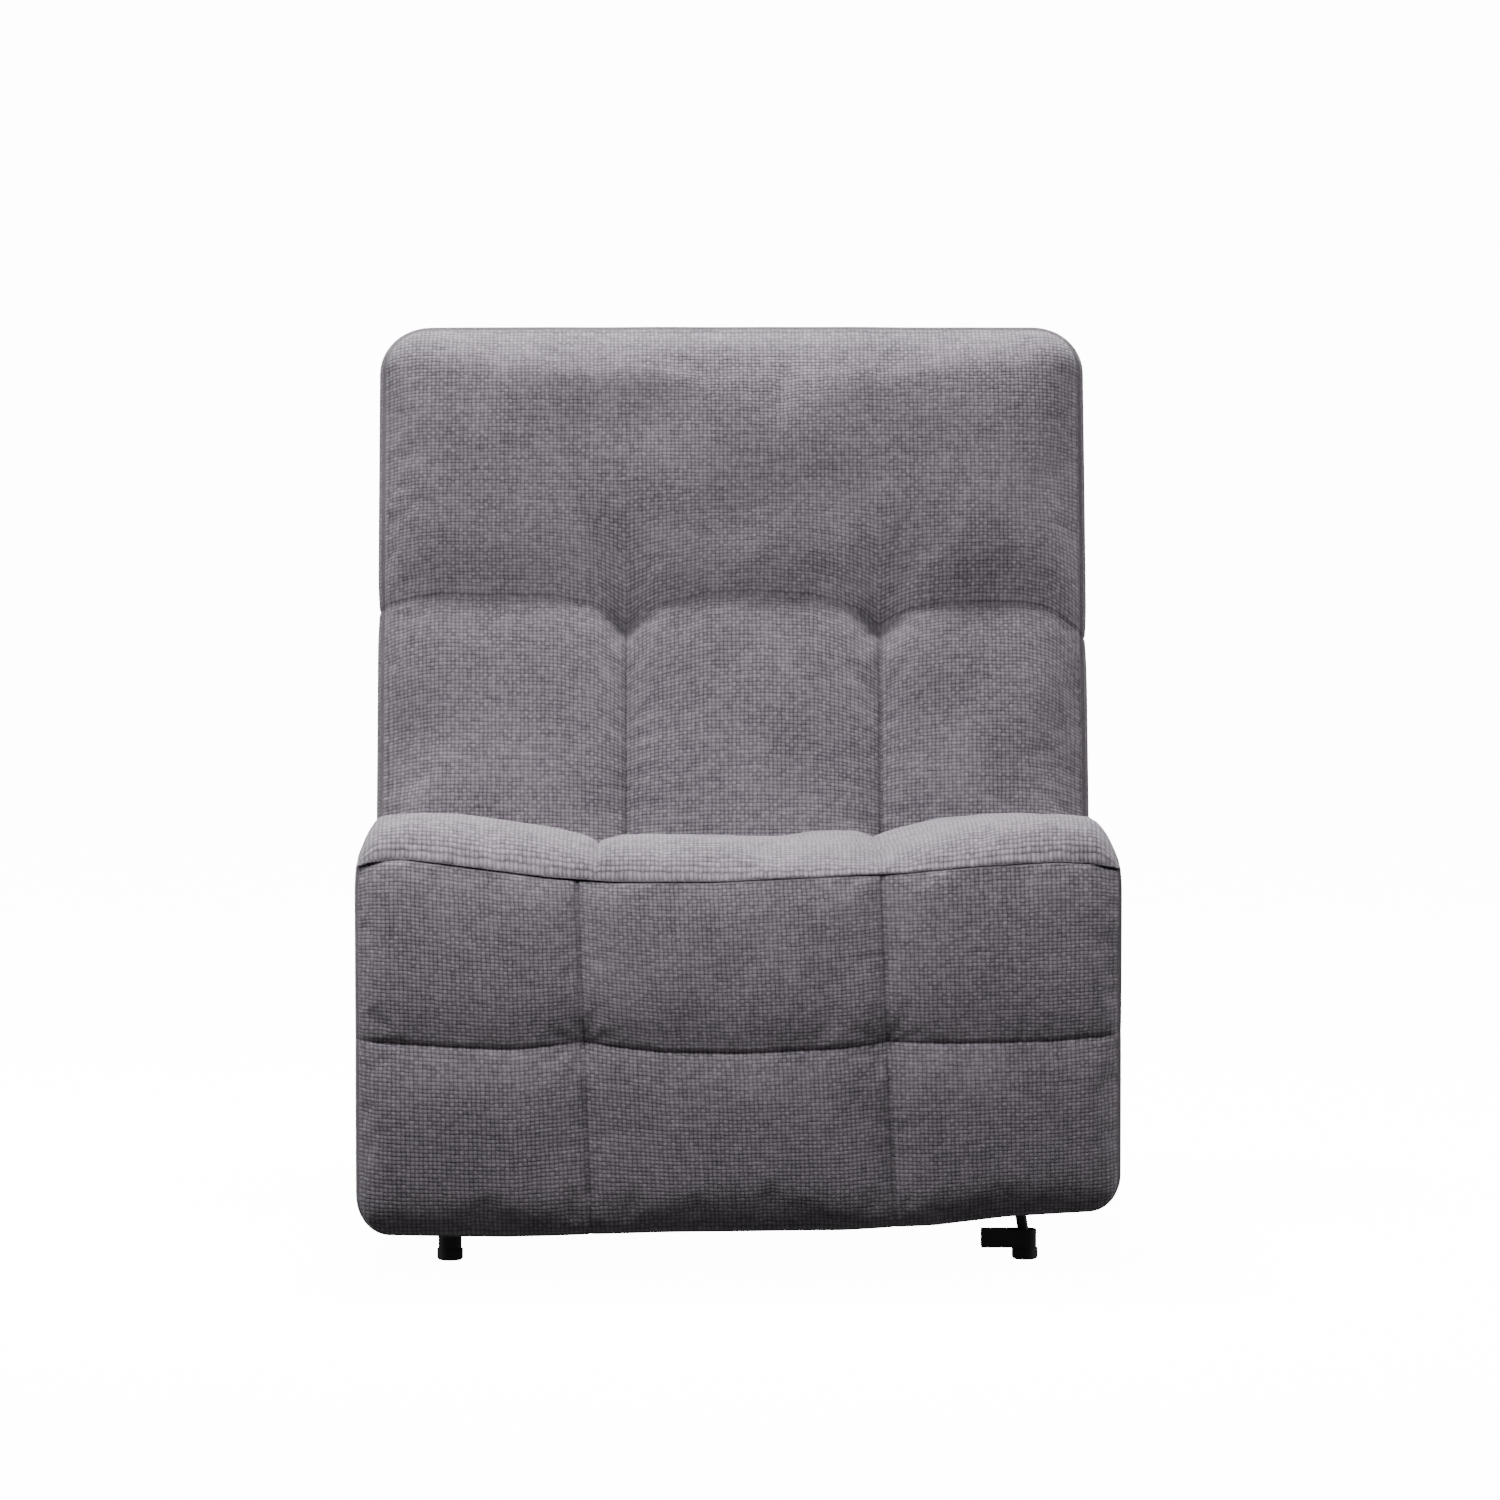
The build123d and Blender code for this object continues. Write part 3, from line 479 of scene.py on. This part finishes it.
def footrest_face(P, Q, cap, nose, sharp):
    """Depth ahead of the board: puffed pockets less the seams, tufts and rounded edge."""
    depth = np.full_like(P, 0.100)
    for column in footrest_columns:
        depth += valley(P - column, 0.020, 0.005) + stitch(P - column, sharp)
    depth += valley(Q - footrest_seam, 0.020, 0.007) + stitch(Q - footrest_seam, sharp, 0.0035)
    depth += dimple(P, Q, [(column, footrest_seam) for column in footrest_columns], 0.024, 0.009)
    depth += billow(P, Q, 3, 0.13, 0.0018)
    upper = np.clip((Q - footrest_seam) / 0.12, 0, 1)
    upper = upper * np.clip((0.39 - np.abs(P)) / 0.02, 0.35, 1)
    return depth - (0.020 - 0.014 * upper) * cap


def footrest_held(P, Q):
    """Hold of the cover along its seams."""
    uprights = np.maximum(near(P - footrest_columns[0]), near(P - footrest_columns[1]))
    return np.maximum(uprights, near(Q - footrest_seam))


verts, faces, flat = pad_mesh(
    sizes=((-0.3995, 0.3995), (0.0, footrest_tall)),
    radii=(0.030, 0.034),
    top=footrest_face,
    base=lambda P, Q: np.full_like(P, 0.0005),
    bulge=0.0055,
    seams=(footrest_columns, (footrest_seam,)),
    held=footrest_held,
    limit=0.007,
    square=1,
)
board_y = -0.3755
seam_height = 0.248
seam_lean = 0.044
height = footrest_height(verts[:, 0], verts[:, 1])
slant = (seam_height - height) * seam_lean * np.clip(1 - (verts[:, 0] / half_width) ** 2, 0, 1)
placed = np.stack([verts[:, 0] + slant, board_y - verts[:, 2], height], -1)
upholster("footrest_cushion", placed, faces, flat, "footrest", "footrest_pad")


# ------------------------------------------------------------------- seat pad
# One long cushion over the springs, its front rolled over the footrest panel,
# with two seams front to back and one across behind the roll.
seat_columns = (-0.149, 0.152)
seat_cross = -0.305


def seat_roll(x):
    """Height of the front roll's crest across the chair."""
    return np.interp(
        x,
        [-0.405, -0.392, -0.378, -0.345, -0.30, -0.25, -0.20, -0.149, -0.10, -0.04, 0.02, 0.093]
        + [0.135, 0.152, 0.177, 0.205, 0.242, 0.28, 0.315, 0.346, 0.375, 0.39, 0.405],
        [0.473, 0.477, 0.480, 0.4815, 0.481, 0.475, 0.466, 0.457, 0.4595, 0.457, 0.454, 0.4515]
        + [0.449, 0.447, 0.452, 0.460, 0.469, 0.477, 0.481, 0.480, 0.477, 0.472, 0.466],
    )


def seat_rear(x):
    """Height of the main pockets behind the roll, 0.2 m ahead of the middle."""
    return np.interp(
        x,
        [-0.405, -0.378, -0.335, -0.29, -0.232, -0.18, -0.149, -0.125, -0.07, 0.02]
        + [0.052, 0.09, 0.13, 0.152, 0.184, 0.229, 0.273, 0.317, 0.361, 0.405],
        [0.460, 0.462, 0.464, 0.461, 0.452, 0.442, 0.438, 0.442, 0.441, 0.439]
        + [0.440, 0.445, 0.446, 0.4435, 0.450, 0.4585, 0.463, 0.4645, 0.462, 0.450],
    )


def seat_face(P, Q, cap, nose, sharp):
    """Height over the floor, from the roll's crest back to the main pockets; the nose drops
    to the seam over the footrest panel and the sides drop by their own edge."""
    share = np.clip((Q + 0.41) / 0.21, 0, 1)
    share = share * share * (3 - 2 * share)
    rise = seat_roll(P) * (1 - share) + seat_rear(P) * share
    rise -= 0.0186 * np.clip((Q + 0.2) / 0.22, 0, 1.3)
    for column in seat_columns:
        rise += valley(P - column, 0.012, 0.003) + stitch(P - column, sharp, 0.0035)
    rise += valley(Q - seat_cross, 0.018, 0.009) + stitch(Q - seat_cross, sharp)
    rise += dimple(P, Q, [(column, seat_cross) for column in seat_columns], 0.024, 0.006)
    rise += billow(P, Q, 8, 0.12, 0.0025)
    drop = nose * (rise - footrest_top(P) - 0.003) + (1 - nose) * 0.040
    return rise - drop * np.clip(cap, 0, 1)


def seat_base(P, Q):
    """Underside: over the footrest panel the nose lies on its top edge, behind it on the frame."""
    gap = 0.0005 + 0.0015 * np.clip((0.38 - np.abs(P)) / 0.05, 0, 1)
    nose = np.maximum(footrest_top(P) + gap, 0.4155)
    return np.where(Q < -0.3585, nose, 0.3298)


def seat_held(P, Q):
    """Hold of the cover along its seams."""
    lengthwise = np.maximum(near(P - seat_columns[0]), near(P - seat_columns[1]))
    return np.maximum(lengthwise, near(Q - seat_cross))


verts, faces, flat = pad_mesh(
    sizes=((-0.4025, 0.4025), (-0.4685, 0.083)),
    radii=(0.030, 0.062),
    top=seat_face,
    base=seat_base,
    bulge=0.003,
    seams=(seat_columns, (seat_cross,)),
    held=seat_held,
    limit=0.004,
    square=-1,
)
# The rear wall is cut back at the lean of the back pad that stands behind it.
back_lean = math.radians(16.0)
rear = np.clip((verts[:, 1] - 0.02) / 0.063, 0, 1)
verts[:, 1] -= rear * np.clip(0.432 - verts[:, 2], 0, 0.11) * math.tan(back_lean)
upholster("seat_cushion", verts, faces, flat, "seat", "seat_pad")


# ------------------------------------------------------------------- back pad
# A broad head pillow over three arched pockets, pulled in by two tufts on the
# scalloped seam, with a boxing strip down each side.
back_seam = 0.365
back_columns = (-0.121, 0.167)
back_low = 0.0225
pivot_y, pivot_z = 0.19, 0.29


def scallop(x):
    """Height of the scalloped seam up the back, across the chair."""
    return np.interp(
        x,
        [-0.405, -0.33, -0.27, -0.20, -0.155, -0.135, -0.121, -0.107, -0.085, -0.03, 0.03]
        + [0.09, 0.12, 0.145, 0.167, 0.182, 0.205, 0.24, 0.285, 0.33, 0.36, 0.405],
        [0.368, 0.378, 0.3765, 0.3745, 0.3655, 0.3555, 0.347, 0.355, 0.364, 0.3775, 0.3805]
        + [0.3765, 0.368, 0.359, 0.347, 0.354, 0.3605, 0.366, 0.3685, 0.3675, 0.361, 0.335],
    )


def back_height(x, q):
    """Height up the back: the seam keeps its scalloped line, both ends stay straight."""
    below = np.clip((q - back_low) / (back_seam - back_low), 0, 1)
    above = np.clip((q - back_seam) / 0.16, 0, 1)
    below = below * below * (3 - 2 * below)
    above = above * above * (3 - 2 * above)
    share = np.where(q < back_seam, below, 1 - above)
    return q + (scallop(x) - back_seam) * share


def back_face(P, Q, cap, nose, sharp):
    """Depth ahead of the recline pivot's plane."""
    below = np.clip((back_seam - Q) / 0.03, 0, 1)
    below = below * below * (3 - 2 * below)
    depth = 0.134 + 0.006 * np.exp(-(((Q - 0.55) / 0.13) ** 2)) - 0.004 * np.abs(P / 0.395) ** 3
    depth += valley(Q - back_seam, 0.024, 0.010) + stitch(Q - back_seam, sharp)
    for column in back_columns:
        depth += below * (valley(P - column, 0.012, 0.0025) + stitch(P - column, sharp))
        upward = np.clip(Q - back_seam, 0, 1)
        pull = np.exp(-(((P - column) / (0.018 + 0.25 * upward)) ** 2)) * np.exp(-upward / 0.045)
        depth -= 0.020 * pull * (1 - below)
    depth += dimple(P, Q, [(column, back_seam) for column in back_columns], 0.026, 0.010)
    depth += billow(P, Q, 5, 0.16, 0.003)
    return depth - 0.030 * cap


def back_held(P, Q):
    """Hold of the cover along its seams; the upright ones end at the scalloped one."""
    low = 1 / (1 + np.exp((Q - back_seam) / 0.004))
    uprights = np.maximum(near(P - back_columns[0]), near(P - back_columns[1])) * low
    return np.maximum(uprights, near(Q - back_seam))


def on_back(verts):
    """From width, height up the back and depth to the chair: turned by the back's lean
    about the recline pivot."""
    sine, cosine = math.sin(back_lean), math.cos(back_lean)
    y = pivot_y + verts[:, 1] * sine - verts[:, 2] * cosine
    z = pivot_z + verts[:, 1] * cosine + verts[:, 2] * sine
    return np.stack([verts[:, 0], y, z], -1)


verts, faces, flat = pad_mesh(
    sizes=((-0.3955, 0.3955), (back_low, 0.6935)),
    radii=(0.050, 0.046),
    top=back_face,
    base=lambda P, Q: np.full_like(P, 0.0585),
    bulge=0.0085,
    seams=(back_columns, (back_seam,)),
    held=back_held,
    limit=0.006,
)
verts[:, 1] = back_height(verts[:, 0], verts[:, 1])
upholster("back_cushion", on_back(verts), faces, flat, "back", "back_pad")


# ----------------------------------------------------------- floor and studio
# A plain white sweep, a broad lamp high behind for the seat and top edge, a low
# strip in front that fades down the panel, two weak lamps at the sides for the
# boxing strips, and a dim sky that is darker below.
def sweep_mesh(name, reach, high, bend, material):
    """Round floor that curves up into a wall all round: an arc of radius bend joins the
    two, turned once about the middle."""
    turn = np.linspace(0, math.pi / 2, 24)
    out = np.concatenate([[0.001], reach + bend * np.sin(turn), [reach + bend]])
    z = np.concatenate([[0.0], bend * (1 - np.cos(turn)), [high]])
    R, A = np.meshgrid(out, np.linspace(0, math.tau, 97), indexing="ij")
    Z = np.broadcast_to(z[:, None], R.shape)
    verts = np.stack([R * np.cos(A), R * np.sin(A), Z], -1).reshape(-1, 3)
    return mesh_object(name, verts, quads(np.arange(R.size).reshape(R.shape)), verts, material)


paper = Paint("studio_paper").set(
    Base_Color=(0.8, 0.8, 0.8, 1.0),
    Roughness=0.95,
    Emission_Color=(1.0, 1.0, 1.0, 1.0),
    Emission_Strength=14.0,
)
sweep = sweep_mesh("studio_sweep", 9.0, 12.0, 3.0, paper)
sweep.visible_diffuse = False
sweep.visible_glossy = False


def lamp(name, place, aim, size, power):
    """Area lamp at place, turned to face aim."""
    light = bpy.data.lights.new(name, "AREA")
    light.shape = "RECTANGLE"
    light.size, light.size_y = size
    light.energy = power
    holder = bpy.data.objects.new(name, light)
    holder.location = place
    way = np.array(aim) - np.array(place)
    holder.rotation_euler = (
        math.atan2(math.hypot(way[0], way[1]), -way[2]),
        0.0,
        math.atan2(way[1], way[0]) - math.pi / 2,
    )
    bpy.context.scene.collection.objects.link(holder)


lamp("top", (-0.25, 0.75, 3.6), (-0.1, -0.2, 0.4), (1.6, 1.0), 300.0)
lamp("front", (-0.32, -0.95, 0.95), (-0.1, -0.25, 0.35), (1.8, 0.25), 12.5)
lamp("left_rim", (-2.6, 0.2, 1.1), (0, 0.1, 0.5), (1.0, 1.4), 24.0)
lamp("right_rim", (2.6, 0.2, 1.1), (0, 0.1, 0.5), (1.0, 1.4), 28.0)
world = bpy.data.worlds.new("studio")
world.use_nodes = True
sky = Tree(world.node_tree)
up = sky.node("ShaderNodeSeparateXYZ", output=2, i0=sky.node("ShaderNodeTexCoord", output=0))
bright = ((up + 0.15) * 1.2).math("MAXIMUM", 0.5).math("MINIMUM", 1.0)
background = world.node_tree.nodes["Background"]
background.inputs["Color"].default_value = (1.0, 1.0, 1.0, 1.0)
world.node_tree.links.new((bright * 0.25).out, background.inputs["Strength"])
bpy.context.scene.world = world

camera = bpy.data.cameras.new("camera")
camera.lens = 172.6
camera.sensor_width = 36.0
eye = bpy.data.objects.new("camera", camera)
eye.location = (-0.082, -7.98, 1.1)
eye.rotation_euler = (math.radians(90 - 4.135), 0.0, math.radians(-0.714))
bpy.context.scene.collection.objects.link(eye)
bpy.context.scene.camera = eye
